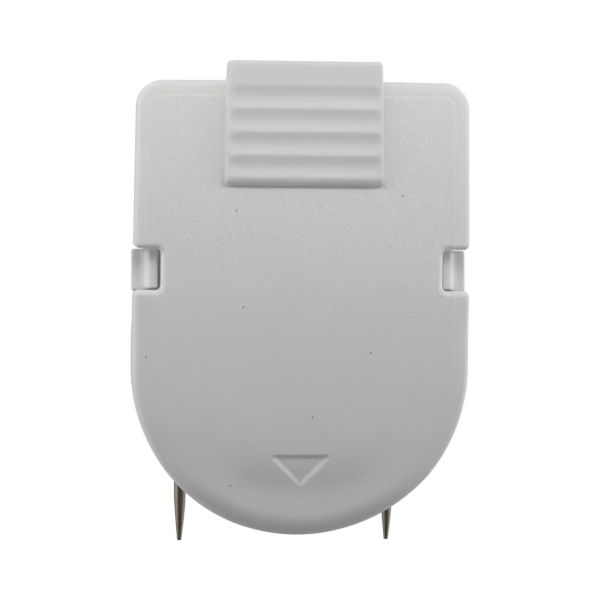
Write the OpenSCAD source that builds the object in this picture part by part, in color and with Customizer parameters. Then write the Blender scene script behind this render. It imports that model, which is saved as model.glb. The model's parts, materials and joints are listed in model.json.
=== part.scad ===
// Panel wall clip: a sprung front lever on a back plate with two steel pins.
// +X is right seen from the front, +Z is up and the front faces -Y.
// The origin is on the plane that touches the wall panel, on the centre line, at hinge height.

/* [Front lever] */
// Width of the lever across the hinge
lever_width = 38.4; // [38:0.1:39]
// Height of the lever's face, without the thumb pad's overhang
lever_height = 51.4; // [50.8:0.1:51.8]
// Forward lean of the face at the top, in degrees
lever_tilt = 5.5; // [5:0.5:6]
// Radius of the two top corners
corner_radius = 2.9; // [1.5:0.1:4]
// Thickness of the lever's front wall
wall = 1.7; // [1.4:0.1:1.9]
// Depth of the lever's rim above the hinge
rim_depth = 2.6; // [2.2:0.1:2.8]
// Top of each side notch, above the hinge
notch_top = 2; // [2:0.1:2.4]
// Bottom of each side notch, below the hinge
notch_bottom = -2.6; // [-2.8:0.1:-2.6]
// Depth of each side notch
notch_depth = 3.25; // [3:0.05:3.4]

/* [Thumb pad] */
// Width of the thumb pad
pad_width = 17.6; // [14:0.1:20]
// Height of the thumb pad
pad_height = 14.25; // [13.75:0.25:15]
// How far the pad stands up past the lever's top edge
pad_overhang = 2.25; // [1.5:0.25:3]
// How far the pad stands proud of the face
pad_raise = 1.2; // [0.8:0.1:1.5]
// Number of grip grooves across the pad
groove_count = 4; // [3:1:4]
// Spacing of the grip grooves
groove_pitch = 2.6; // [2.4:0.1:2.7]
// Depth of a grip groove
groove_depth = 0.4; // [0.2:0.05:0.5]

/* [Arrow] */
// Width of the sunk arrow
arrow_width = 6.5; // [5:0.5:8]
// Height of the sunk arrow
arrow_height = 3.5; // [3:0.5:4]
// Depth of the sunk arrow
arrow_depth = 0.35; // [0.2:0.05:0.5]

/* [Back plate] */
// Half width of the back plate above the hinge
plate_half_width = 17.2; // [16.8:0.1:17.3]
// Radius of the back plate's round lower jaw
jaw_radius = 18.1; // [18:0.1:18.3]
// Thickness of the back plate
plate_thickness = 1.6; // [1.4:0.1:1.8]
// How far the raised land on the back stands out to meet the panel
land_raise = 0.6; // [0.4:0.1:0.8]
// Distance of the jaws' parting plane from the panel
parting = 4.6; // [4.4:0.1:4.8]
// Gap between the closed jaws
jaw_gap = 0.15; // [0.12:0.01:0.3]

/* [Hinge] */
// Distance of the hinge axis from the panel
hinge_y = 5.2; // [5.1:0.1:5.3]
// Diameter of the steel hinge rod
rod_diameter = 2; // [1.8:0.1:2]
// Diameter of the spring wire
wire_diameter = 0.8; // [0.6:0.1:0.8]

/* [Pins] */
// Diameter of the pin wire
pin_diameter = 1.35; // [1.2:0.05:1.4]
// Distance of each pin from the centre line
pin_x = 12.1; // [11:0.1:12.5]
// Distance of the pin shafts behind the panel plane
pin_y = 6.2; // [5:0.1:6.5]
// Height of the holes that the pins leave the plate by
pin_root_z = -17; // [-18:0.5:-16]
// Height of the pin tips
pin_tip_z = -30.85; // [-31.5:0.05:-30]

/* [Hidden] */
$fn = 64;
eps = 0.01;

// Lever: the face is drawn in its own frame, x across, depth behind the face, v up the face.
lever_radius = lever_width / 2;
face_y = -10.5;
face_top = 21;
arc_v = face_top - lever_height + lever_radius;
top_narrowing = 0.45;
side_wall = 1.6;
crease_v = -25.2;
lip_flare = 0.7;
lip_end_v = -31;
mouth_gap = 1.5;
hollow_bottom_v = -23.2;
ramp_top_v = notch_bottom - 2.4;
ramp_bottom_z = -7.8;
pad_tab_depth = 1;
pad_top_round = 0.6;
pad_bottom_round = 1.3;
pad_end_land = 0.35;
groove_width = 1.4;
first_groove_below_top = 3.45;
arrow_top_v = -21.4;

// Lugs on the lever, and the ears of the back plate that they hang between.
hinge_play = 0.05;
lug_inner_x = 11.9;
lug_thickness = 1.7;
lug_radius = 2.2;
ear_inner_x = 14.2;
ear_front_x = 18.95;
ear_root_x = 17.95;
ear_front_y = -7.4;
ear_top_z = 2.1;
ear_bottom_z = -2.5;
post_inner_x = lever_radius - notch_depth + 0.15;
post_outer_x = 17.3;
post_front_y = -8.7;
post_top_z = 1.9;
post_bottom_z = -2.35;
bearing_depth = 1.4;
rod_half_length = ear_inner_x + bearing_depth - 0.1;
snap_slot_width = 1.6;

// Back plate
plate_back = -land_raise;
plate_front = plate_back - plate_thickness;
plate_top_z = 19.5;
plate_corner = 3;
jaw_z = -11;
shoulder_top_z = -2.6;
jaw_top_z = -4.1;
jaw_rim = 1.6;
jaw_lip_top_z = -24;
land_half_width = 8;
land_top_z = 17;
land_bottom_z = -25;

// Spring
coil_radius = 1.6;
coil_pitch = 0.85;
coil_turns = 3;
coil_outer_x = 9.6;
leg_angle = 5.7;
bridge_angle = 16;
leg_top_z = 9.4;
bridge_z = 8;
bridge_corner = 0.9;
step_angle = 22.5;
wire_sides = 8;

// Pins
pin_bend = 2;
pin_taper_z = -26;
pin_tip_diameter = 0.5;
pin_head_diameter = 2.3;
pin_head_thickness = 0.5;
boss_radius = 1.7;
boss_height = 1.4;

white = [0.93, 0.93, 0.92];
steel = [0.72, 0.72, 0.73];
dark_steel = [0.34, 0.32, 0.30];

// Points on an arc round c, with both ends.
function arc(c, r, from, to, steps = 12) =
    [for (i = [0:steps]) let (a = from + (to - from) * i / steps) c + r * [cos(a), sin(a)]];

// Outline of the face, moved inwards by inset.
function face_outline(inset = 0) =
    let (
        r = lever_radius - inset,
        c = max(corner_radius - inset, 0.6),
        cx = r - top_narrowing - c,
        cv = face_top - inset - c
    )
    concat(
        arc([0, arc_v], r, 180, 360, 48),
        arc([cx, cv], c, 0, 90),
        arc([-cx, cv], c, 90, 180)
    );

// A point of the lever's side view, from depth and v to [y, z].
function side(depth, v) =
    [face_y + depth * cos(lever_tilt) - v * sin(lever_tilt),
     depth * sin(lever_tilt) + v * cos(lever_tilt)];

// Outline of the back plate, moved inwards by inset.
function plate_outline(inset = 0) =
    let (
        r = jaw_radius - inset,
        w = plate_half_width - inset,
        c = plate_corner - inset / 2,
        top = plate_top_z - inset
    )
    concat(
        arc([0, jaw_z], r, 180, 360, 48),
        [[r, jaw_z / 2 + shoulder_top_z / 2], [w, shoulder_top_z]],
        arc([w - c, top - c], c, 0, 90),
        arc([c - w, top - c], c, 90, 180),
        [[-w, shoulder_top_z], [-r, jaw_z / 2 + shoulder_top_z / 2]]
    );

module both_sides() {
    children();
    mirror([1, 0, 0]) children();
}

// Moves into the face's frame: children are drawn with [x, v] in plan and depth as height.
module on_face(depth = 0) {
    translate([0, face_y, 0])
        rotate([lever_tilt, 0, 0])
            translate([0, depth, 0])
                rotate([90, 0, 0])
                    mirror([0, 0, 1])
                        children();
}

// Extrudes a side view, drawn as [y, z], to a given width about the centre line.
module across(width) {
    translate([-width / 2, 0, 0])
        rotate([90, 0, 90])
            linear_extrude(width)
                children();
}

// Extrudes a front view, drawn as [x, z], from the front y to the back y.
module front_view(front, back) {
    translate([0, back, 0])
        rotate([90, 0, 0])
            linear_extrude(back - front)
                children();
}

module hinge_cylinder(r, from, to) {
    translate([from, -hinge_y, 0])
        rotate([0, 90, 0])
            cylinder(r = r, h = to - from);
}

module lever_blank() {
    intersection() {
        on_face(-2)
            linear_extrude(14)
                polygon(face_outline());
        across(2 * lever_width)
            polygon([
                side(0, face_top + 2),
                side(0, crease_v),
                side(-lip_flare, lip_end_v),
                [-parting - jaw_gap - mouth_gap, lip_end_v],
                [-parting - jaw_gap, crease_v],
                [-parting - jaw_gap, ramp_bottom_z],
                side(rim_depth, ramp_top_v),
                side(rim_depth, face_top + 2)
            ]);
    }
}

module lever_hollow() {
    intersection() {
        on_face(wall)
            linear_extrude(14)
                polygon(face_outline(side_wall));
        across(2 * lever_width)
            polygon([
                side(wall - 1, face_top + 2),
                side(wall - 1, hollow_bottom_v),
                side(wall + 10, hollow_bottom_v - 2),
                side(wall + 10, face_top + 2)
            ]);
    }
}

module thumb_pad() {
    top = face_top + pad_overhang;
    bottom = top - pad_height;
    difference() {
        across(pad_width)
            polygon(concat(
                [for (p = arc([-pad_raise + pad_bottom_round, bottom + pad_bottom_round],
                              pad_bottom_round, 270, 180, 8)) side(p[0], p[1])],
                [for (p = arc([-pad_raise + pad_top_round, top - pad_top_round],
                              pad_top_round, 180, 90, 6)) side(p[0], p[1])],
                [side(pad_tab_depth, top),
                 side(pad_tab_depth, face_top - side_wall),
                 side(wall / 2, face_top - side_wall),
                 side(wall / 2, bottom)]
            ));
        for (i = [0:groove_count - 1])
            pad_groove(top - first_groove_below_top - i * groove_pitch);
    }
}

// A shallow round-bottomed groove across the pad, which stops short of the pad's sides.
module pad_groove(v) {
    radius = (pow(groove_width / 2, 2) + pow(groove_depth, 2)) / (2 * groove_depth);
    length = pad_width - 2 * pad_end_land;
    centre = side(-pad_raise + groove_depth - radius, v);
    translate([-length / 2, centre[0], centre[1]])
        rotate([0, 90, 0])
            cylinder(r = radius, h = length);
}

module arrow_cut() {
    on_face(-1)
        linear_extrude(1 + arrow_depth)
            polygon([
                [-arrow_width / 2, arrow_top_v],
                [arrow_width / 2, arrow_top_v],
                [0, arrow_top_v - arrow_height]
            ]);
}

module notch_cut() {
    on_face(-2)
        linear_extrude(8)
            translate([lever_radius - notch_depth, notch_bottom])
                square([notch_depth + 2, notch_top - notch_bottom]);
}

module lever_lug() {
    difference() {
        union() {
            hinge_cylinder(lug_radius, lug_inner_x, lug_inner_x + lug_thickness);
            translate([lug_inner_x, face_y + wall / 2, -lug_radius])
                cube([lug_thickness, -face_y - wall / 2 - hinge_y, 2 * lug_radius]);
        }
        hinge_cylinder(rod_diameter / 2 + hinge_play, lug_inner_x - 1, lug_inner_x + lug_thickness + 1);
    }
}

module front_lever() {
    color(white) {
        difference() {
            union() {
                difference() {
                    lever_blank();
                    lever_hollow();
                }
                thumb_pad();
            }
            arrow_cut();
            both_sides() notch_cut();
        }
        both_sides() lever_lug();
    }
}

// One ear: a drafted block with a hinge post in front, and a snap bearing in its inner wall.
module ear() {
    bearing_end = ear_inner_x + bearing_depth;
    difference() {
        union() {
            translate([0, 0, ear_bottom_z])
                linear_extrude(ear_top_z - ear_bottom_z)
                    polygon([
                        [ear_inner_x, plate_back - 0.2],
                        [ear_root_x, plate_back - 0.2],
                        [ear_front_x, ear_front_y],
                        [ear_inner_x, ear_front_y]
                    ]);
            front_view(post_front_y, plate_front)
                translate([post_inner_x, post_bottom_z])
                    square([post_outer_x - post_inner_x, post_top_z - post_bottom_z]);
        }
        hinge_cylinder(rod_diameter / 2, ear_inner_x - 1, bearing_end);
        translate([ear_inner_x - 1, ear_front_y - 1, -snap_slot_width / 2])
            cube([bearing_depth + 1, -hinge_y - ear_front_y + 1, snap_slot_width]);
    }
}

module base_plate() {
    color(white)
        difference() {
            union() {
                front_view(plate_front, plate_back) polygon(plate_outline());
                front_view(plate_back - eps, 0)
                    translate([-land_half_width, land_bottom_z])
                        square([2 * land_half_width, land_top_z - land_bottom_z]);
                jaw_wall();
                both_sides() ear();
                both_sides() pin_boss();
            }
            both_sides() pin_hole();
        }
}

// The wall that stands round the lower jaw and meets the lever at the parting plane.
module jaw_wall() {
    front_view(-parting, plate_front + eps)
        difference() {
            intersection() {
                polygon(plate_outline());
                translate([-lever_width / 2, -lever_height])
                    square([lever_width, lever_height + jaw_top_z]);
            }
            intersection() {
                polygon(plate_outline(jaw_rim));
                translate([-lever_width / 2, jaw_lip_top_z])
                    square([lever_width, lever_height]);
            }
        }
}

module pin_boss() {
    translate([pin_x, plate_front + eps, pin_root_z])
        rotate([90, 0, 0])
            cylinder(r = boss_radius, h = boss_height);
}

module pin_hole() {
    translate([pin_x, 1, pin_root_z])
        rotate([90, 0, 0])
            cylinder(d = pin_diameter, h = 8);
}

module hinge_rod() {
    color(steel)
        hinge_cylinder(rod_diameter / 2, -rod_half_length, rod_half_length);
}

// A bent steel pin: head, shank through the plate, bend, straight shaft and tapered point.
module wall_pin(x) {
    shank_front = plate_front - boss_height;
    color(dark_steel)
        translate([x, 0, 0]) {
            translate([0, shank_front, pin_root_z])
                rotate([90, 0, 0])
                    cylinder(d = pin_head_diameter, h = pin_head_thickness);
            translate([0, pin_y - pin_bend, pin_root_z])
                rotate([90, 0, 0])
                    cylinder(d = pin_diameter, h = pin_y - pin_bend - shank_front + eps);
            translate([0, pin_y - pin_bend, pin_root_z - pin_bend])
                rotate([90, 0, 90])
                    rotate_extrude(angle = 90)
                        translate([pin_bend, 0])
                            circle(d = pin_diameter);
            translate([0, pin_y, pin_taper_z])
                cylinder(d = pin_diameter, h = pin_root_z - pin_bend - pin_taper_z);
            translate([0, pin_y, pin_tip_z])
                cylinder(d1 = pin_tip_diameter, d2 = pin_diameter, h = pin_taper_z - pin_tip_z);
        }
}

module left_pin() {
    wall_pin(-pin_x);
}

module right_pin() {
    wall_pin(pin_x);
}

// Centre line of the right half of the spring, from its leg on the plate to the bridge's middle.
function coil_point(a, x) = [x, -hinge_y + coil_radius * cos(a), coil_radius * sin(a)];

function spring_half() =
    let (
        start = -leg_angle,
        end = -180 + bridge_angle - 360 * coil_turns,
        steps = ceil((start - end) / step_angle),
        inner_x = coil_outer_x - coil_pitch * (start - end) / 360,
        leg_foot = coil_point(start, coil_outer_x),
        bridge_foot = coil_point(end, inner_x),
        leg_rise = leg_top_z - leg_foot[2],
        rise = bridge_z - bridge_foot[2]
    )
    concat(
        [for (t = [1, 0.5]) leg_foot + t * leg_rise * [0, tan(leg_angle), 1]],
        [for (i = [0:steps])
            let (a = start + (end - start) * i / steps)
            coil_point(a, coil_outer_x + (inner_x - coil_outer_x) * i / steps)],
        [bridge_foot + 0.5 * rise * [0, -tan(bridge_angle), 1]],
        [for (i = [0:4])
            let (
                b = 90 * i / 4,
                up = rise - bridge_corner + bridge_corner * sin(b)
            )
            bridge_foot + [-bridge_corner * (1 - cos(b)), -up * tan(bridge_angle), up]]
    );

function mirrored(p) = [for (i = [len(p) - 1:-1:0]) [-p[i][0], p[i][1], p[i][2]]];

function unit(v) = v / norm(v);

// A closed tube along a path. Each ring is turned as little as possible from the one before.
module tube(path, d, sides) {
    count = len(path);
    tangents = [for (i = [0:count - 1]) unit(path[min(i + 1, count - 1)] - path[max(i - 1, 0)])];
    normals = ring_normals(tangents, [unit(cross(tangents[0], [0, 1, 0]))]);
    points = [
        for (i = [0:count - 1])
            let (n = normals[i], b = cross(tangents[i], n))
            for (k = [0:sides - 1])
                path[i] + d / 2 * (cos(360 * k / sides) * n + sin(360 * k / sides) * b)
    ];
    walls = [
        for (i = [0:count - 2])
            for (k = [0:sides - 1])
                let (next = (k + 1) % sides)
                [i * sides + k, (i + 1) * sides + k, (i + 1) * sides + next, i * sides + next]
    ];
    near_cap = [for (k = [0:sides - 1]) k];
    far_cap = [for (k = [sides - 1:-1:0]) (count - 1) * sides + k];
    polyhedron(points, concat(walls, [near_cap, far_cap]), convexity = 10);
}

// Carries the first normal along the tangents, one after another.
function ring_normals(tangents, done) =
    len(done) == len(tangents)
        ? done
        : let (
            t = tangents[len(done)],
            last = done[len(done) - 1]
        )
        ring_normals(tangents, concat(done, [unit(last - (last * t) * t)]));

module torsion_spring() {
    half = spring_half();
    color(steel)
        tube(concat(half, mirrored(half)), wire_diameter, wire_sides);
}

base_plate();
front_lever();
hinge_rod();
torsion_spring();
left_pin();
right_pin();
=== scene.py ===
"""Visual model of a sprung wall-panel clip: a white lever on a back plate, with two steel pins."""

import json
import math

import bpy
import numpy as np
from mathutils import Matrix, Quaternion, Vector


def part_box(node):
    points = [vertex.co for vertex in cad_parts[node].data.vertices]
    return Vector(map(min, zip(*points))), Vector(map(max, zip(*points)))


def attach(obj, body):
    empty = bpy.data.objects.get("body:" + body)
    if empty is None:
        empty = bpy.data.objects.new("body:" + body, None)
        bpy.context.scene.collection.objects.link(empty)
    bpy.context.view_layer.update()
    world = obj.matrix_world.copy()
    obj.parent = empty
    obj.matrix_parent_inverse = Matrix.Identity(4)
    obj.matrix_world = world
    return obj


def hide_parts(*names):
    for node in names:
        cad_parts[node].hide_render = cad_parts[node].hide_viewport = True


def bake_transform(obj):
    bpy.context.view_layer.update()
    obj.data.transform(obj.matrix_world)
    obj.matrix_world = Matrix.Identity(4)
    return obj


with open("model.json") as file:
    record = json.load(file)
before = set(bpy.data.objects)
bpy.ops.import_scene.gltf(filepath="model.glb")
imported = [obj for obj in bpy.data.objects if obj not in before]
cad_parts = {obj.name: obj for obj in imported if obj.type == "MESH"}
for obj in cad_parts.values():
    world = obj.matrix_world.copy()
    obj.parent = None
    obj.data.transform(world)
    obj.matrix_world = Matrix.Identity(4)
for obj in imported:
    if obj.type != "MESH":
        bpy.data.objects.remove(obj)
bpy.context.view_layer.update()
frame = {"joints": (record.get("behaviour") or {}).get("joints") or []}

MM = 0.001  # shapes are worked out in millimetres, and meshes are stored in metres
HINGE = next(j for j in frame["joints"] if j["name"] == "lever_hinge")
HINGE_Y = HINGE["pos_m"][1] / MM
GRID = 0.22  # cell of the meshing grid away from fine detail
FINE = 0.11  # cell of the meshing grid at fine detail


def cad_box(node):
    """Lowest and highest corner of a CAD node, in millimetres."""
    low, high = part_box(node)
    return [c / MM for c in low], [c / MM for c in high]


# ---------------------------------------------------------------- distance fields
# A field is negative inside its shape, and close to the distance from the surface elsewhere.


def round_and(a, b, r):
    """What two fields share, with the edge between them rounded to radius r."""
    u = a + r
    w = b + r
    return np.minimum(np.maximum(u, w), 0) + np.hypot(np.maximum(u, 0), np.maximum(w, 0)) - r


def round_or(a, b, r):
    """Two fields joined, with a fillet of radius r between them."""
    return -round_and(-a, -b, r)


def round_cut(a, b, r):
    """a with b cut away, and the new edge rounded to radius r."""
    return round_and(a, -b, r)


def round_corner(past_u, past_w, r):
    """A corner of radius r, from how far a point is past the corner's centre each way."""
    outside = np.hypot(np.maximum(past_u, 0), np.maximum(past_w, 0))
    return outside + np.minimum(np.maximum(past_u, past_w), 0) - r


def rounded_box(u, w, half_u, half_w, r):
    """A rectangle about the origin with corner radius r."""
    return round_corner(np.abs(u) - half_u + r, np.abs(w) - half_w + r, r)


def span(value, low, high):
    """What lies between two parallel planes."""
    return np.abs(value - (low + high) / 2) - (high - low) / 2


def smooth(t):
    """0 below t = 0, 1 above t = 1, and a smooth rise between."""
    t = np.clip(t, 0, 1)
    return t * t * (3 - 2 * t)


# ---------------------------------------------------------------- meshing


def graded(low, high, coarse, bands):
    """Grid lines from low to high, coarse apart, or a step apart in a (from, to, step) band."""
    lines = [low]
    while lines[-1] < high:
        at = lines[-1]
        steps = [step for start, end, step in bands if start - step <= at < end]
        lines.append(at + min(steps, default=coarse))
    return np.array(lines)


def mirrored(lines):
    """Grid lines from 0 upwards, repeated below 0."""
    return np.concatenate([-lines[:0:-1], lines])


def cell_corners():
    """The 8 corners of a grid cell, as steps along each axis."""
    return [(i, j, k) for i in (0, 1) for j in (0, 1) for k in (0, 1)]


def cell_edges():
    """The 12 edges of a grid cell, as pairs of corners that differ along one axis."""
    corners = cell_corners()
    pairs = [(a, b) for a in corners for b in corners if a < b]
    return [(a, b) for a, b in pairs if sum(p != q for p, q in zip(a, b)) == 1]


def surface_points(values, inside, grid):
    """One point in each cell that the surface crosses: the mean of its edge crossings."""
    shape = [n - 1 for n in values.shape]
    filled = np.zeros(shape, dtype=np.int8)
    for i, j, k in cell_corners():
        filled += inside[i : i + shape[0], j : j + shape[1], k : k + shape[2]]
    cells = np.argwhere((filled > 0) & (filled < 8))
    total = np.zeros((len(cells), 3))
    count = np.zeros(len(cells))
    for a, b in cell_edges():
        ca = cells + a
        cb = cells + b
        fa = values[tuple(ca.T)]
        fb = values[tuple(cb.T)]
        hit = (fa < 0) != (fb < 0)
        t = np.where(hit, fa / np.where(hit, fa - fb, 1), 0)
        for axis in range(3):
            pa = grid[axis][ca[:, axis]]
            pb = grid[axis][cb[:, axis]]
            total[:, axis] += np.where(hit, pa + t * (pb - pa), 0)
        count += hit
    return cells, total / count[:, None], shape


def surface_quads(inside, cells, shape):
    """The quads that join those points, with their normals outwards."""
    number = np.full(shape, -1, dtype=np.int64)
    number[tuple(cells.T)] = np.arange(len(cells))
    quads = []
    for axis in range(3):
        b = (axis + 1) % 3
        c = (axis + 2) % 3
        near = [slice(None)] * 3
        far = [slice(None)] * 3
        near[axis] = slice(0, -1)
        far[axis] = slice(1, None)
        edges = np.argwhere(inside[tuple(near)] != inside[tuple(far)])
        outwards = inside[tuple(near)][tuple(edges.T)]
        ring = []
        for db, dc in ((1, 1), (0, 1), (0, 0), (1, 0)):
            at = edges.copy()
            at[:, b] -= db
            at[:, c] -= dc
            ring.append(number[tuple(at.T)])
        ring = np.stack(ring, axis=1)
        quads.append(np.where(outwards[:, None], ring, ring[:, ::-1]))
    return np.concatenate(quads)


def slope(field, points, step=0.01):
    """Gradient of a field at each point."""
    result = np.empty_like(points)
    for axis in range(3):
        ahead = points.copy()
        behind = points.copy()
        ahead[:, axis] += step
        behind[:, axis] -= step
        result[:, axis] = (field(*ahead.T) - field(*behind.T)) / (2 * step)
    return result


def settle(field, points, rounds=3):
    """Moves points onto the field's surface, a little at a time, and gives the normals there."""
    reach = 0.5 * FINE
    least_slope = 0.05
    for _ in range(rounds):
        gradient = slope(field, points)
        size = np.maximum((gradient**2).sum(axis=1), least_slope)
        move = np.clip(field(*points.T) / size, -reach, reach)
        points = points - move[:, None] * gradient
    normals = slope(field, points)
    return points, normals / np.maximum(np.linalg.norm(normals, axis=1), 1e-9)[:, None]


def mesh_field(field, grid):
    """Points, normals and quads of a field's surface on a grid of x, y and z lines."""
    x, y, z = grid
    values = np.broadcast_to(
        field(x[:, None, None], y[None, :, None], z[None, None, :]), (len(x), len(y), len(z))
    )
    inside = values < 0
    cells, points, shape = surface_points(values, inside, grid)
    quads = surface_quads(inside, cells, shape)
    points, normals = settle(field, points)
    return points, normals, quads


def add_mesh(name, points, faces, normals=None):
    """A smooth-shaded object from points in millimetres."""
    mesh = bpy.data.meshes.new(name)
    mesh.from_pydata((np.asarray(points) * MM).tolist(), [], [list(f) for f in faces])
    mesh.shade_smooth()
    if normals is not None:
        mesh.normals_split_custom_set_from_vertices(np.asarray(normals).tolist())
    obj = bpy.data.objects.new(name, mesh)
    bpy.context.scene.collection.objects.link(obj)
    return obj


# ---------------------------------------------------------------- front lever
# The lever's field is in its face's frame: x across, depth behind the face and v up the face,
# with v = 0 close to the hinge. Lengths are in millimetres here and for the other pieces.

TILT = math.radians(5.5)
FACE_Y = -10.5
FACE_TOP = 21.0
LEVER_HALF = 19.16
LEVER_HEIGHT = 51.5
ARC_V = FACE_TOP - LEVER_HEIGHT + LEVER_HALF  # centre of the round lower end
TOP_NARROWING = 0.33
TOP_CROWN = 0.12
SIDE_DRAFT = 0.045
CORNER = 2.9
WALL = 1.7
SIDE_WALL = 1.6
RIM_DEPTH = 2.6
FRONT_ROUND = 0.6
RAMP = (-7.8, -5.4)  # where the rim slopes back to meet the lower jaw
JAW_FACE_Y = -4.75
CROWN = 0.3
CROWN_MID = -4.5
CROWN_HALF = 25.5
BORDER = 1.5  # width of the smooth border above the hinge
BORDER_DEPTH = 0.13
BORDER_LINE = (0.03, 0.22)  # depth and half width of the faint line along the border
PILLOW = (0.5, 2.7)  # depth and width of the rounded edge below the hinge
ROLL = (0.8, 2.4)  # what the lip's edge adds to that
ROLL_V = (-23.0, -28.0)
CREASE_V = -25.25
CREASE_CURVE = 0.024
BEND_TALL = 4.1
BEND_SLOPE = 0.23
TURN_TALL = 2.2
FLARE_SLOPE = 0.04
LIP_HALF = 4.5
LIP_FADE = 6.5
MOUTH_SLOPE = 0.06
HOLLOW_BOTTOM = -23.2
NOTCH_INNER = 15.95
NOTCH_TOP = 2.1
NOTCH_BOTTOM = -2.6
NOTCH_EDGE_ROUND = 0.65
PAD_HALF = 8.95
PAD_TAPER = 0.28
PAD_TOP = 23.25
PAD_BOTTOM = 9.1
PAD_RAISE = 1.17
PAD_BACK = 1.6
PAD_CORNER = 0.65
PAD_TOP_ROUND = 0.6
PAD_FOOT_ROUND = 1.3
PAD_EDGE_ROUND = 0.3
FIRST_GROOVE = 19.18
GROOVE_PITCH = 2.6
GROOVE_COUNT = 4
GROOVE_HALF = 0.9
GROOVE_DEPTH = 0.33
GROOVE_RAMP = 1.1
GROOVE_ROUND = 0.35
ARROW_TOP = -21.2
ARROW_HALF = 3.3
ARROW_TALL = 3.25
ARROW_DEPTH = 0.35
ARROW_ROUND = 0.5
LUG_MID = 12.75
LUG_HALF = 0.85
LUG_RADIUS = 2.2
ROD_RADIUS = 1.0
HINGE_PLAY = 0.05


def face_to_world(points):
    """From [x, depth, v] of the face's frame to [x, y, z]."""
    x, depth, v = np.asarray(points).T
    y = FACE_Y + depth * math.cos(TILT) - v * math.sin(TILT)
    z = depth * math.sin(TILT) + v * math.cos(TILT)
    return np.stack([x, y, z], axis=1)


def turn_to_world(normals):
    """Directions of the face's frame, turned into the part's frame."""
    x, depth, v = np.asarray(normals).T
    y = depth * math.cos(TILT) - v * math.sin(TILT)
    z = depth * math.sin(TILT) + v * math.cos(TILT)
    return np.stack([x, y, z], axis=1)


def face_outline(x, v, inset=0.0):
    """The lever seen square on: a round lower end, nearly straight sides and a crowned top."""
    radius = LEVER_HALF - inset
    corner = np.maximum(CORNER - inset, 0.6)
    up = np.clip((v - ARC_V) / (FACE_TOP - ARC_V), 0, 1)
    qx = np.abs(x) - (radius - TOP_NARROWING * up**1.35) + corner
    qv = v - (FACE_TOP - inset - TOP_CROWN * (x / LEVER_HALF) ** 2) + corner
    lower = np.hypot(x, v - ARC_V) - radius
    return np.where(v > ARC_V, round_corner(qx, qv, corner), lower)


def crown(v):
    """How far the face bulges forward of its flat plane."""
    return CROWN * np.maximum(1 - ((v - CROWN_MID) / CROWN_HALF) ** 2, 0)


def arrow_depth(x, v):
    """Depth of the sunk arrow: a steep top edge, sloping lower edges and blunt corners."""
    lean = math.hypot(ARROW_HALF, ARROW_TALL)
    above = v - ARROW_TOP
    beside = (ARROW_TALL * np.abs(x) - ARROW_HALF * (v - ARROW_TOP + ARROW_TALL)) / lean
    outside = round_and(above, beside, ARROW_ROUND)
    wall = 0.42 + 0.22 * smooth((beside - above) / 0.6 + 0.5)
    return ARROW_DEPTH * smooth(0.5 - outside / wall)


def crease_below(x, v):
    """How far v is below the curved crease above the lip."""
    return CREASE_V + CREASE_CURVE * x**2 - v


def lip_depth(x, v):
    """The face bends back towards the crease, and the lip below it flares forward a little."""
    below = crease_below(x, v) + TURN_TALL / 2
    bend = np.clip((below + BEND_TALL) / BEND_TALL, 0, 1)
    turn = np.clip(below / TURN_TALL, 0, 1)
    back = BEND_SLOPE * (BEND_TALL * bend**2 / 2 + TURN_TALL * (turn - turn**2 / 2))
    forward = FLARE_SLOPE * (TURN_TALL * turn**2 / 2 + np.maximum(below - TURN_TALL, 0))
    return (back - forward) * (1 - smooth((np.abs(x) - LIP_HALF) / LIP_FADE))


def face_depth(x, v, edge):
    """Depth of the front surface, where edge is the distance in from the outline."""
    lower = smooth((-2.0 - v) / 6.0)
    pillow = PILLOW[0] * np.clip(1 - edge / PILLOW[1], 0, 1) ** 2
    roll = ROLL[0] * np.clip(1 - edge / ROLL[1], 0, 1) ** 2
    roll = roll * smooth((ROLL_V[0] - v) / (ROLL_V[0] - ROLL_V[1]))
    border = BORDER_DEPTH * np.clip(1 - edge / BORDER, 0, 1)
    line = BORDER_LINE[0] * np.exp(-(((edge - BORDER) / BORDER_LINE[1]) ** 2))
    rim = lower * pillow + (1 - lower) * (border + line)
    return rim + roll + lip_depth(x, v) + arrow_depth(x, v) - crown(v)


def back_depth(x, v):
    """Depth of the rim: shallow above the hinge, and down to the jaws' parting plane below it."""
    meet = (JAW_FACE_Y - FACE_Y + v * math.sin(TILT)) / math.cos(TILT)
    mouth = meet - MOUTH_SLOPE * np.maximum(crease_below(x, v), 0)
    below = smooth((RAMP[1] - v) / (RAMP[1] - RAMP[0]))
    return RIM_DEPTH + (mouth - RIM_DEPTH) * below


def lever_shell(x, depth, v):
    """The moulded shell: outline, front, rim and the hollow behind the face."""
    drafted = SIDE_DRAFT * np.maximum(depth, 0)
    outline = face_outline(x, v, drafted)
    front = face_depth(x, v, -outline) - depth
    lower = smooth((-3.0 - v) / 6.0)
    mouth = smooth((-24.0 - v) / 4.0)
    back_round = 0.3 + 0.9 * lower - 0.7 * mouth
    blank = round_and(outline, front, FRONT_ROUND)
    blank = round_and(blank, depth - back_depth(x, v), back_round)
    hollow = round_and(face_outline(x, v, SIDE_WALL), WALL - depth, 0.8)
    hollow = round_and(hollow, HOLLOW_BOTTOM - v, 1.2)
    return round_cut(blank, hollow, 0.2)


def pad_grooves(from_edge, proud, v):
    """Round-bottomed grooves across the pad, which run out just before its sides."""
    radius = (GROOVE_HALF**2 + GROOVE_DEPTH**2) / (2 * GROOVE_DEPTH)
    deep = GROOVE_DEPTH * smooth(from_edge / GROOVE_RAMP)
    centre = -PAD_RAISE + deep - radius
    rows = [FIRST_GROOVE - i * GROOVE_PITCH for i in range(GROOVE_COUNT)]
    return np.minimum.reduce([np.hypot(proud - centre, v - at) - radius for at in rows])


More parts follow.
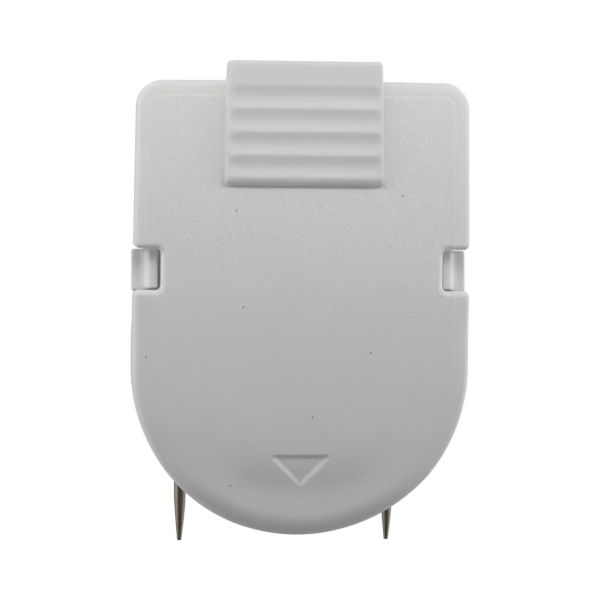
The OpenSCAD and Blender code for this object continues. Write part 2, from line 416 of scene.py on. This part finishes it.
def thumb_pad(x, depth, v):
    """The raised pad with its overhanging tab."""
    proud = depth + crown(v)
    profile = round_and(-PAD_RAISE - proud, v - PAD_TOP, PAD_TOP_ROUND)
    profile = round_and(profile, PAD_BOTTOM - v, PAD_FOOT_ROUND)
    back = np.where(v > FACE_TOP - SIDE_WALL, depth - PAD_BACK, depth - WALL / 2)
    profile = round_and(profile, back, PAD_EDGE_ROUND)
    mid = (PAD_TOP + PAD_BOTTOM) / 2
    tall = PAD_TOP - PAD_BOTTOM
    half = PAD_HALF - PAD_TAPER * (v - PAD_BOTTOM) / tall
    profile = round_cut(profile, pad_grooves(half - np.abs(x), proud, v), GROOVE_ROUND)
    return round_and(profile, rounded_box(x, v - mid, half, tall / 2, PAD_CORNER), PAD_EDGE_ROUND)


def from_axis(depth, v):
    """How far behind the hinge axis a point is, and how far above it."""
    y = FACE_Y + depth * math.cos(TILT) - v * math.sin(TILT) - HINGE_Y
    z = depth * math.sin(TILT) + v * math.cos(TILT)
    return y, z


def lug(x, depth, v):
    """The two lugs that hang on the hinge rod."""
    y, z = from_axis(depth, v)
    across = np.abs(np.abs(x) - LUG_MID) - LUG_HALF
    plate = round_and(across, np.hypot(np.maximum(y, 0), z) - LUG_RADIUS, 0.2)
    return round_and(plate, 0.6 * WALL - depth, 0.1)


def lug_bore(depth, v):
    """The round hole for the rod, with a little play."""
    y, z = from_axis(depth, v)
    return np.hypot(y, z) - ROD_RADIUS - HINGE_PLAY


def lever_field(x, depth, v):
    """The whole lever, with a sharper corner under the pad than beside it."""
    fillet = 0.12 + 0.23 * smooth((v - PAD_BOTTOM - 0.6) / 1.2)
    field = round_or(lever_shell(x, depth, v), thumb_pad(x, depth, v), fillet)
    middle = (NOTCH_TOP + NOTCH_BOTTOM) / 2
    half = (NOTCH_TOP - NOTCH_BOTTOM) / 2
    reach = 3
    notch = rounded_box(np.abs(x) - NOTCH_INNER - reach, v - middle, reach, half, 0.6)
    field = round_cut(field, notch, NOTCH_EDGE_ROUND)
    field = round_or(field, lug(x, depth, v), 0.6)
    return round_cut(field, lug_bore(depth, v), 0.1)


def grain_amount(points):
    """Strongest at the top of the face, and 0 on its smooth border, the pad, the lip and the back."""
    x, depth, v = points.T
    inside = smooth((-face_outline(x, v) - BORDER) / 0.5)
    beside_pad = smooth(np.maximum(np.abs(x) - PAD_HALF, PAD_BOTTOM - v) / 0.4)
    above_arrow = smooth((v - ARROW_TOP - 0.5) / 2.0)
    worn = 0.35 + 0.65 * smooth((v + 8.0) / 12.0)
    return inside * beside_pad * above_arrow * worn * (depth < 1.0)


def painted_pad_shade_amount(points):
    """1 on the front of the thumb pad, whose colour is greyed a little as painted shade, and 0
    elsewhere.
    """
    _, depth, _ = points.T
    return smooth((-depth - 0.35) / 0.4)


def add_vertex_values(obj, name, values):
    """Stores one number per vertex, for a material to read."""
    attribute = obj.data.attributes.new(name, "FLOAT", "POINT")
    attribute.data.foreach_set("value", values.astype(np.float32))


def make_lever():
    pad_side = (8.0, 9.4, FINE)
    notches = (15.5, 19.4, FINE)
    x = mirrored(graded(0.0, LEVER_HALF + 0.3, GRID, [pad_side, notches]))
    depth = graded(-1.5, 8.4, GRID, [(-1.5, 3.0, FINE)])
    arrow_rows = (-26.0, -20.6, FINE)
    notch_rows = (-3.6, 3.6, FINE)
    pad_rows = (8.6, 23.8, FINE)
    v = graded(-30.6, 23.7, GRID, [arrow_rows, notch_rows, pad_rows])
    points, normals, quads = mesh_field(lever_field, (x, depth, v))
    lever = add_mesh("front_lever_shell", face_to_world(points), quads, turn_to_world(normals))
    add_vertex_values(lever, "grain", grain_amount(points))
    # painted shade: marks the front of the thumb pad, whose colour is greyed to dim it
    add_vertex_values(lever, "painted_pad_shade", painted_pad_shade_amount(points))
    lever.data.materials.append(lever_plastic())
    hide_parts("front_lever")
    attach(lever, "lever")


# ---------------------------------------------------------------- back plate

PLATE_BACK = -0.6
PLATE_FRONT = -2.2
JAW_RADIUS = 18.1
JAW_Z = -11.0
PLATE_HALF = 17.2
PLATE_TOP = 19.5
PLATE_CORNER = 3.0
SHOULDER = (-6.8, -2.6)
PARTING = -4.6
JAW_WALL = 1.6
JAW_LIP_TOP = -24.0
JAW_WALL_TOP = -4.1
LAND_HALF = 8.0
LAND_MID_Z = -4.0
LAND_HALF_Z = 21.0
EAR_INNER = 14.2
EAR_FRONT_Y = -7.4
EAR_FRONT_X = 19.1
EAR_ROOT_X = 17.95
EAR_Z = (-2.5, 2.25)
POST_X = (16.1, 17.3)
POST_FRONT_Y = -8.7
POST_Z = (-2.35, 2.0)
POST_DRAFT = 0.35
BEARING_END = EAR_INNER + 1.4
SNAP_SLOT_HALF = 0.8
PIN_X = 12.15
PIN_ROOT_Z = -17.0
BOSS_RADIUS = 1.7
BOSS_HEIGHT = 1.4


def plate_outline(x, z, inset=0.0):
    """The plate seen square on: a round lower jaw, shoulders, and a narrower upper half."""
    across = np.abs(x)
    narrow = (JAW_RADIUS - PLATE_HALF) * smooth((z - SHOULDER[0]) / (SHOULDER[1] - SHOULDER[0]))
    corner = PLATE_CORNER - inset / 2
    qx = across - (JAW_RADIUS - narrow - inset) + corner
    qz = z - (PLATE_TOP - inset) + corner
    lower = np.hypot(x, z - JAW_Z) - (JAW_RADIUS - inset)
    return np.where(z > JAW_Z, round_corner(qx, qz, corner), lower)


def jaw_wall(x, y, z):
    """The wall round the lower jaw, thicker along the bottom."""
    outline = round_and(plate_outline(x, z), z - JAW_WALL_TOP, 0.4)
    inner = round_and(plate_outline(x, z, JAW_WALL), JAW_LIP_TOP - z, 1.2)
    outline = round_and(outline, PARTING - y, 0.8)
    ring = round_cut(outline, inner, 0.2)
    return np.maximum(ring, y - PLATE_FRONT - 0.4)


def ear(x, y, z):
    """A drafted block on each side with a hinge post in front, and a snap bearing for the rod."""
    across = np.abs(x)
    along = (y - PLATE_BACK) / (EAR_FRONT_Y - PLATE_BACK)
    outer = EAR_ROOT_X + (EAR_FRONT_X - EAR_ROOT_X) * along
    block = round_and(np.maximum(EAR_INNER - across, across - outer), span(z, *EAR_Z), 0.3)
    block = round_and(block, span(y, EAR_FRONT_Y, PLATE_BACK - 0.15), 0.25)
    behind_tip = np.clip(y - POST_FRONT_Y, 0, EAR_FRONT_Y - POST_FRONT_Y)
    post_outer = POST_X[1] + POST_DRAFT * behind_tip
    post = round_and(np.maximum(POST_X[0] - across, across - post_outer), span(z, *POST_Z), 0.35)
    post = round_and(post, span(y, POST_FRONT_Y, PLATE_FRONT), 0.4)
    block = round_or(block, post, 0.5)
    axle = np.hypot(y - HINGE_Y, z) - ROD_RADIUS
    throat = np.maximum(np.abs(z) - SNAP_SLOT_HALF, y - HINGE_Y)
    bearing = np.maximum(np.minimum(axle, throat), across - BEARING_END)
    return round_cut(block, bearing, 0.1)


def plate_field(x, y, z):
    """The whole back plate: the flat plate, its land, the jaw wall, the pin bosses and the ears."""
    field = round_and(plate_outline(x, z), span(y, PLATE_FRONT, PLATE_BACK), 0.35)
    land = rounded_box(x, z - LAND_MID_Z, LAND_HALF, LAND_HALF_Z, 1.5)
    land = round_and(land, span(y, PLATE_BACK - 0.3, 0.0), 0.15)
    field = round_or(field, land, 0.15)
    field = round_or(field, jaw_wall(x, y, z), 0.5)
    boss = np.hypot(np.abs(x) - PIN_X, z - PIN_ROOT_Z) - BOSS_RADIUS
    boss = round_and(boss, span(y, PLATE_FRONT - BOSS_HEIGHT, PLATE_FRONT + 0.4), 0.2)
    field = round_or(field, boss, 0.4)
    return round_or(field, ear(x, y, z), 0.3)


def make_plate():
    margin = 0.3
    x = mirrored(graded(0.0, EAR_FRONT_X + 0.4, GRID, [(13.8, 19.3, FINE)]))
    y = graded(POST_FRONT_Y - margin, margin, FINE * 1.3, [])
    z = graded(JAW_Z - JAW_RADIUS - margin, PLATE_TOP + margin, GRID, [(-3.2, 3.0, FINE)])
    points, normals, quads = mesh_field(plate_field, (x, y, z))
    plate = add_mesh("base_plate_shell", points, quads, normals)
    plate.data.materials.append(plate_plastic())
    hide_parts("base_plate")
    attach(plate, "base")


# ---------------------------------------------------------------- wire pieces


def frames_along(path):
    """A tangent and two normals at each point of a path, turned as little as possible."""
    path = np.asarray(path, dtype=float)
    tangents = np.gradient(path, axis=0)
    tangents /= np.linalg.norm(tangents, axis=1)[:, None]
    aside = (0.31, 0.87, 0.38)  # any direction that no path starts along
    first = np.cross(tangents[0], aside)
    normals = [first / np.linalg.norm(first)]
    for tangent in tangents[1:]:
        n = normals[-1] - np.dot(normals[-1], tangent) * tangent
        normals.append(n / np.linalg.norm(n))
    normals = np.array(normals)
    return path, normals, np.cross(tangents, normals)


def wire(name, path, radii, sides=24):
    """A closed round wire along a path, with its own radius at each point."""
    path, normals, sideways = frames_along(path)
    angles = np.linspace(0, 2 * math.pi, sides, endpoint=False)
    rings = [
        p + r * (np.cos(angles)[:, None] * n + np.sin(angles)[:, None] * s)
        for p, r, n, s in zip(path, radii, normals, sideways)
    ]
    points = np.concatenate([*rings, path[:1], path[-1:]])
    count = len(path)
    faces = []
    for i in range(count - 1):
        for k in range(sides):
            m = (k + 1) % sides
            faces.append((i * sides + k, i * sides + m, (i + 1) * sides + m, (i + 1) * sides + k))
    start = count * sides
    for k in range(sides):
        m = (k + 1) % sides
        faces.append((start, m, k))
        faces.append((start + 1, (count - 1) * sides + k, (count - 1) * sides + m))
    return add_mesh(name, points, faces)


def arc_points(centre, radius, start, end, count):
    """Points on an arc in the y-z plane, with angles in degrees from +Y towards +Z."""
    angles = np.radians(np.linspace(start, end, count))
    x, y, z = centre
    return [(x, y + radius * math.cos(a), z + radius * math.sin(a)) for a in angles]


PIN_RADIUS = 0.675
PIN_Y = 6.2
PIN_BEND = 2.0
PIN_TAPER_Z = -25.6
PIN_TIP_Z = cad_box("left_pin")[0][2]
PIN_TIP_RADIUS = 0.25
PIN_TIP_ROUND = 0.1
PIN_TIP_GAP = 0.01  # keeps the tip just inside the CAD pin's
PIN_SKEW = 0.08  # the points are ground a little off centre
PIN_HEAD_RADIUS = 1.15
PIN_HEAD_THICKNESS = 0.5
PIN_HEAD_CORNER = 0.12


def pin_stations():
    """(y, z, radius) from the head inside the plate to the blunt tip."""
    corner = PIN_HEAD_CORNER
    front = PLATE_FRONT - BOSS_HEIGHT - PIN_HEAD_THICKNESS
    back = front + PIN_HEAD_THICKNESS
    head = [
        (front, PIN_HEAD_RADIUS - corner),
        (front + corner * 0.3, PIN_HEAD_RADIUS - corner * 0.3),
        (front + corner, PIN_HEAD_RADIUS),
        (back - corner, PIN_HEAD_RADIUS),
        (back, PIN_HEAD_RADIUS - corner),
        (back + 0.02, PIN_RADIUS),
    ]
    stations = [(y, PIN_ROOT_Z, r) for y, r in head]
    bend_y = PIN_Y - PIN_BEND
    bend_z = PIN_ROOT_Z - PIN_BEND
    stations += [(y, PIN_ROOT_Z, PIN_RADIUS) for y in np.linspace(-2.8, bend_y - 0.3, 8)]
    stations += [(y, z, PIN_RADIUS) for _, y, z in arc_points((0, bend_y, bend_z), PIN_BEND, 90, 0, 14)]
    stations += [(PIN_Y, z, PIN_RADIUS) for z in np.linspace(bend_z - 0.6, PIN_TAPER_Z + 0.8, 8)]
    tip_z = PIN_TIP_Z + PIN_TIP_GAP
    for t in np.linspace(0, 1, 22):
        z = PIN_TAPER_Z + (tip_z + PIN_TIP_ROUND - PIN_TAPER_Z) * t
        taper = 1 - (1 - PIN_TIP_RADIUS / PIN_RADIUS) * t**1.35
        stations.append((PIN_Y, z, PIN_RADIUS * taper))
    for turn in (30, 60, 85):
        a = math.radians(turn)
        z = tip_z + PIN_TIP_ROUND * (1 - math.sin(a))
        stations.append((PIN_Y, z, PIN_TIP_RADIUS - PIN_TIP_ROUND * (1 - math.cos(a))))
    return stations


def make_pin(side, x):
    stations = pin_stations()
    ground = [max(PIN_TAPER_Z - z, 0) / (PIN_TAPER_Z - PIN_TIP_Z) for _, z, _ in stations]
    path = [(x - PIN_SKEW * t**2, y, z) for (y, z, _), t in zip(stations, ground)]
    pin = wire(f"{side}_pin_wire", path, [r for _, _, r in stations])
    pin.data.materials.append(pin_steel())
    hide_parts(f"{side}_pin")
    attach(pin, "base")


def make_rod():
    half = cad_box("hinge_rod")[1][0]
    bevel = 0.15
    ends = [
        (half, ROD_RADIUS - bevel),
        (half - 0.3 * bevel, ROD_RADIUS - 0.3 * bevel),
        (half - bevel, ROD_RADIUS),
    ]
    stations = [(-x, r) for x, r in ends]
    stations += [(x, ROD_RADIUS) for x in np.linspace(-half + 1, half - 1, 16)]
    stations += [(x, r) for x, r in reversed(ends)]
    path = [(x, HINGE_Y, 0) for x, _ in stations]
    rod = wire("hinge_rod_bar", path, [r for _, r in stations], 40)
    rod.data.materials.append(rod_steel())
    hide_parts("hinge_rod")
    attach(rod, "base")


COIL_RADIUS = 1.6
COIL_PITCH = 0.85
COIL_TURNS = 3
COIL_OUTER_X = 9.6
WIRE_RADIUS = 0.4
LEG_ANGLE = 5.7
BRIDGE_ANGLE = 16.0
LEG_TOP_Z = 9.4
BRIDGE_Z = 8.0
BRIDGE_CORNER = 0.9


def spring_half():
    """Centre line of the right half: the plate leg, the coil, and half of the bridge."""
    start = -LEG_ANGLE
    end = -180 + BRIDGE_ANGLE - 360 * COIL_TURNS
    inner_x = COIL_OUTER_X - COIL_PITCH * (start - end) / 360
    angles = np.radians(np.linspace(start, end, 110))
    xs = np.linspace(COIL_OUTER_X, inner_x, len(angles))
    ys = HINGE_Y + COIL_RADIUS * np.cos(angles)
    coil = np.stack([xs, ys, COIL_RADIUS * np.sin(angles)], axis=1)
    leg_run = np.linspace(1, 0.03, 14)[:, None] * (LEG_TOP_Z - coil[0][2])
    leg = coil[0] + leg_run * (0, math.tan(math.radians(LEG_ANGLE)), 1)
    lean = math.tan(math.radians(BRIDGE_ANGLE))
    rise = BRIDGE_Z - coil[-1][2]
    run = np.linspace(0.04, 1 - BRIDGE_CORNER / rise, 12)[:, None] * rise
    riser = coil[-1] + run * (0, -lean, 1)
    turn = np.radians(np.linspace(10, 90, 9))
    up = rise - BRIDGE_CORNER + BRIDGE_CORNER * np.sin(turn)
    inwards = -BRIDGE_CORNER * (1 - np.cos(turn))
    corner = coil[-1] + np.stack([inwards, -lean * up, up], axis=1)
    corner_x, bridge_y, bridge_z = corner[-1]
    bridge = [(x, bridge_y, bridge_z) for x in np.linspace(corner_x, 0, 12)[1:-1]]
    return np.concatenate([leg, coil, riser, corner, bridge])


def make_spring():
    half = spring_half()
    path = np.concatenate([half, half[::-1] * (-1, 1, 1)])
    radii = np.full(len(path), WIRE_RADIUS)
    radii[[0, -1]] = WIRE_RADIUS * 0.8
    spring = wire("torsion_spring_wire", path, radii, 16)
    spring.data.materials.append(spring_steel())
    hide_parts("torsion_spring")
    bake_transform(spring)


# ---------------------------------------------------------------- materials


def new_material(name):
    """A material with its nodes, links and shader node."""
    material = bpy.data.materials.new(name)
    material.use_nodes = True
    nodes = material.node_tree.nodes
    return material, nodes, material.node_tree.links, nodes["Principled BSDF"]


def add_noise(nodes, links, coords, scale, detail=2.0, roughness=0.5):
    """Noise of about 0 to 1, with scale cells to each unit of the coordinates."""
    noise = nodes.new("ShaderNodeTexNoise")
    noise.inputs["Scale"].default_value = scale
    noise.inputs["Detail"].default_value = detail
    noise.inputs["Roughness"].default_value = roughness
    links.new(coords, noise.inputs["Vector"])
    return noise.outputs["Fac"]


def add_ramp(nodes, links, value, low, high, from_value=0.0, to_value=1.0):
    """value mapped from low..high to from_value..to_value, and clamped."""
    ramp = nodes.new("ShaderNodeMapRange")
    ramp.interpolation_type = "SMOOTHSTEP"
    ramp.inputs["From Min"].default_value = low
    ramp.inputs["From Max"].default_value = high
    ramp.inputs["To Min"].default_value = from_value
    ramp.inputs["To Max"].default_value = to_value
    links.new(value, ramp.inputs["Value"])
    return ramp.outputs["Result"]


def add_product(nodes, links, a, b):
    """a times b, where b is another value or a number."""
    node = nodes.new("ShaderNodeMath")
    node.operation = "MULTIPLY"
    links.new(a, node.inputs[0])
    if isinstance(b, float):
        node.inputs[1].default_value = b
    else:
        links.new(b, node.inputs[1])
    return node.outputs[0]


def add_color_mix(nodes, links, factor, a, b):
    """Colour a where factor is 0 and b where it is 1. a may be another node's colour."""
    mix = nodes.new("ShaderNodeMix")
    mix.data_type = "RGBA"
    links.new(factor, mix.inputs["Factor"])
    if isinstance(a, tuple):
        mix.inputs["A"].default_value = (*a, 1)
    else:
        links.new(a, mix.inputs["A"])
    mix.inputs["B"].default_value = (*b, 1)
    return mix.outputs["Result"]


def add_bump(nodes, links, height, distance, strength):
    bump = nodes.new("ShaderNodeBump")
    bump.inputs["Distance"].default_value = distance
    bump.inputs["Strength"].default_value = strength
    links.new(height, bump.inputs["Height"])
    return bump.outputs["Normal"]


def object_coords(nodes):
    return nodes.new("ShaderNodeTexCoord").outputs["Object"]


def add_attribute(nodes, name):
    attribute = nodes.new("ShaderNodeAttribute")
    attribute.attribute_name = name
    return attribute.outputs["Fac"]


def add_specks(nodes, links, coords, spacing, radius):
    """1 on a few small round specks, spread over the front view about a spacing apart."""
    split = nodes.new("ShaderNodeSeparateXYZ")
    links.new(coords, split.inputs[0])
    flat = nodes.new("ShaderNodeCombineXYZ")
    links.new(split.outputs["X"], flat.inputs["X"])
    links.new(split.outputs["Z"], flat.inputs["Y"])
    cells = nodes.new("ShaderNodeTexVoronoi")
    cells.voronoi_dimensions = "2D"
    cells.inputs["Scale"].default_value = 1 / spacing
    links.new(flat.outputs[0], cells.inputs["Vector"])
    edge = radius / spacing
    return add_ramp(nodes, links, cells.outputs["Distance"], 0.4 * edge, edge, 1.0, 0.0)


PLASTIC_COLORS = ((0.80, 0.80, 0.80), (0.84, 0.84, 0.835))
SPECK_COLOR = (0.42, 0.38, 0.34)
SPECK_SPACING = 0.013
SPECK_RADIUS = 0.00016
# painted shade: a greyer colour that dims the front of the thumb pad
PAINTED_PAD_SHADE_COLOR = (0.735, 0.735, 0.735)


def white_plastic(name):
    """White moulded plastic with faint unevenness in colour and gloss, and a few dark specks."""
    material, nodes, links, shader = new_material(name)
    coords = object_coords(nodes)
    cloud = add_noise(nodes, links, coords, 90.0, 3.0)
    specks = add_specks(nodes, links, coords, SPECK_SPACING, SPECK_RADIUS)
    clean = add_color_mix(nodes, links, cloud, *PLASTIC_COLORS)
    color = add_color_mix(nodes, links, specks, clean, SPECK_COLOR)
    links.new(add_ramp(nodes, links, cloud, 0.3, 0.7, 0.55, 0.62), shader.inputs["Roughness"])
    shader.inputs["IOR"].default_value = 1.49
    shader.inputs["Specular IOR Level"].default_value = 0.25
    shader.inputs["Subsurface Weight"].default_value = 0.5
    shader.inputs["Subsurface Radius"].default_value = (0.8, 0.6, 0.45)
    shader.inputs["Subsurface Scale"].default_value = 0.0012
    return material, nodes, links, shader, coords, color


def lever_plastic():
    """The white plastic with a moulded grain, and painted shade that greys the front of the thumb pad a
    little.
    """
    material, nodes, links, shader, coords, color = white_plastic("lever_plastic")
    # painted shade: the front of the thumb pad is greyed a little to dim it
    painted_pad_shade = add_attribute(nodes, "painted_pad_shade")
    color = add_color_mix(nodes, links, painted_pad_shade, color, PAINTED_PAD_SHADE_COLOR)
    links.new(color, shader.inputs["Base Color"])
    noise = add_noise(nodes, links, coords, 2400.0, 2.0, 0.6)
    grain = add_product(nodes, links, noise, add_attribute(nodes, "grain"))
    links.new(add_bump(nodes, links, grain, 0.00013, 1.0), shader.inputs["Normal"])
    return material


def plate_plastic():
    """The white plastic with a faint ripple."""
    material, nodes, links, shader, coords, color = white_plastic("plate_plastic")
    links.new(color, shader.inputs["Base Color"])
    ripple = add_noise(nodes, links, coords, 700.0, 1.0)
    links.new(add_bump(nodes, links, ripple, 0.00001, 0.4), shader.inputs["Normal"])
    return material


def drawn_steel(name, color, roughness, streak_scale):
    """Steel wire with fine streaks along its length."""
    material, nodes, links, shader = new_material(name)
    coords = object_coords(nodes)
    stretch = nodes.new("ShaderNodeMapping")
    stretch.inputs["Scale"].default_value = streak_scale
    links.new(coords, stretch.inputs["Vector"])
    streaks = add_noise(nodes, links, stretch.outputs["Vector"], 1.0, 4.0, 0.7)
    dark = tuple(0.6 * c for c in color)
    light = tuple(1.3 * c for c in color)
    links.new(add_color_mix(nodes, links, streaks, dark, light), shader.inputs["Base Color"])
    shader.inputs["Metallic"].default_value = 1.0
    low = roughness - 0.08
    high = roughness + 0.1
    links.new(add_ramp(nodes, links, streaks, 0.3, 0.7, low, high), shader.inputs["Roughness"])
    links.new(add_bump(nodes, links, streaks, 0.00002, 0.5), shader.inputs["Normal"])
    return material


def pin_steel():
    return drawn_steel("pin_steel", (0.24, 0.21, 0.18), 0.42, (6000, 6000, 700))


def rod_steel():
    return drawn_steel("rod_steel", (0.62, 0.62, 0.63), 0.3, (500, 4000, 4000))


def spring_steel():
    return drawn_steel("spring_steel", (0.52, 0.52, 0.53), 0.28, (2500, 2500, 2500))


# ---------------------------------------------------------------- studio

CAMERA_AZIMUTH = math.radians(-8.0)
CAMERA_ELEVATION = math.radians(-2.52)
CAMERA_ROLL = 0.002
CAMERA_DISTANCE = 0.4
CAMERA_TARGET = (0.00029, -0.00600, -0.00341)
CAMERA_LENS = 211.4
FLOOR_Z = -0.15
FLOOR_HALF = 1.5
FLOOR_PAINT = (0.5, 0.5, 0.5, 1)
FLOOR_GLOW = (0.86, 0.86, 0.86, 1)
FLOOR_GLOW_SHARE = 0.85
WHITE = (1, 1, 1, 1)
WORLD_GLOW = 0.02
LIGHT_TARGET = (0, -0.006, 0)
LIGHTS = [  # name, place, width and height in metres, and power in watts
    ("front_strip", (0.0, -0.07, 0.043), 0.2, 0.02, 0.049),
    ("left_panel", (-0.5, -0.02, 0.0), 0.6, 0.6, 2.1),
    ("right_panel", (0.5, -0.02, 0.0), 0.6, 0.6, 2.2),
    ("top_softbox", (0.0, -0.12, 0.5), 0.5, 0.5, 0.53),
    ("back_softbox", (0.0, 0.5, 0.42), 0.5, 0.4, 0.9),
]


def make_camera():
    """The photographer's view: from a little to the left of square on, and a little below."""
    a = CAMERA_AZIMUTH
    e = CAMERA_ELEVATION
    back = np.array((math.sin(a) * math.cos(e), -math.cos(a) * math.cos(e), math.sin(e)))
    data = bpy.data.cameras.new("camera")
    data.lens = CAMERA_LENS
    data.sensor_width = 36.0
    data.clip_start = 0.01
    data.clip_end = 20.0
    camera = bpy.data.objects.new("camera", data)
    camera.location = np.array(CAMERA_TARGET) + CAMERA_DISTANCE * back
    aim = Vector([float(c) for c in -back])
    level = aim.to_track_quat("-Z", "Y")
    camera.rotation_euler = (Quaternion(aim, CAMERA_ROLL) @ level).to_euler()
    bpy.context.scene.collection.objects.link(camera)
    bpy.context.scene.camera = camera


def area_light(name, location, width, height, power):
    """A soft panel that faces the clip and isn't itself seen."""
    data = bpy.data.lights.new(name, "AREA")
    data.shape = "RECTANGLE"
    data.size = width
    data.size_y = height
    data.energy = power
    light = bpy.data.objects.new(name, data)
    light.location = location
    aim = Vector(LIGHT_TARGET) - Vector(location)
    light.rotation_euler = aim.to_track_quat("-Z", "Y").to_euler()
    light.visible_camera = False
    bpy.context.scene.collection.objects.link(light)


def make_world():
    """White for the camera, and a softer glow for the light that falls on the clip."""
    world = bpy.data.worlds.new("studio")
    world.use_nodes = True
    nodes = world.node_tree.nodes
    links = world.node_tree.links
    glow = nodes["Background"]
    glow.inputs["Color"].default_value = WHITE
    glow.inputs["Strength"].default_value = WORLD_GLOW
    backdrop = nodes.new("ShaderNodeBackground")
    backdrop.inputs["Color"].default_value = WHITE
    backdrop.inputs["Strength"].default_value = 1.0
    path = nodes.new("ShaderNodeLightPath")
    mix = nodes.new("ShaderNodeMixShader")
    links.new(path.outputs["Is Camera Ray"], mix.inputs[0])
    links.new(glow.outputs[0], mix.inputs[1])
    links.new(backdrop.outputs[0], mix.inputs[2])
    links.new(mix.outputs[0], nodes["World Output"].inputs["Surface"])
    bpy.context.scene.world = world


def make_floor():
    """A plain pale floor that looks pale far from the clip too, where little light falls."""
    half = FLOOR_HALF / MM
    corners = [(-half, -half), (half, -half), (half, half), (-half, half)]
    floor = add_mesh("floor", [(x, y, FLOOR_Z / MM) for x, y in corners], [(0, 1, 2, 3)])
    material, nodes, links, shader = new_material("floor_paint")
    shader.inputs["Base Color"].default_value = FLOOR_PAINT
    shader.inputs["Roughness"].default_value = 0.8
    even = nodes.new("ShaderNodeEmission")
    even.inputs["Color"].default_value = FLOOR_GLOW
    path = nodes.new("ShaderNodeLightPath")
    share = add_product(nodes, links, path.outputs["Is Camera Ray"], FLOOR_GLOW_SHARE)
    mix = nodes.new("ShaderNodeMixShader")
    links.new(share, mix.inputs[0])
    links.new(shader.outputs[0], mix.inputs[1])
    links.new(even.outputs[0], mix.inputs[2])
    links.new(mix.outputs[0], nodes["Material Output"].inputs["Surface"])
    floor.data.materials.append(material)


def make_studio():
    make_world()
    make_floor()
    for light in LIGHTS:
        area_light(*light)
    bpy.context.scene.view_settings.view_transform = "Standard"


make_camera()
make_studio()
make_lever()
make_plate()
make_rod()
make_spring()
make_pin("left", -PIN_X)
make_pin("right", PIN_X)
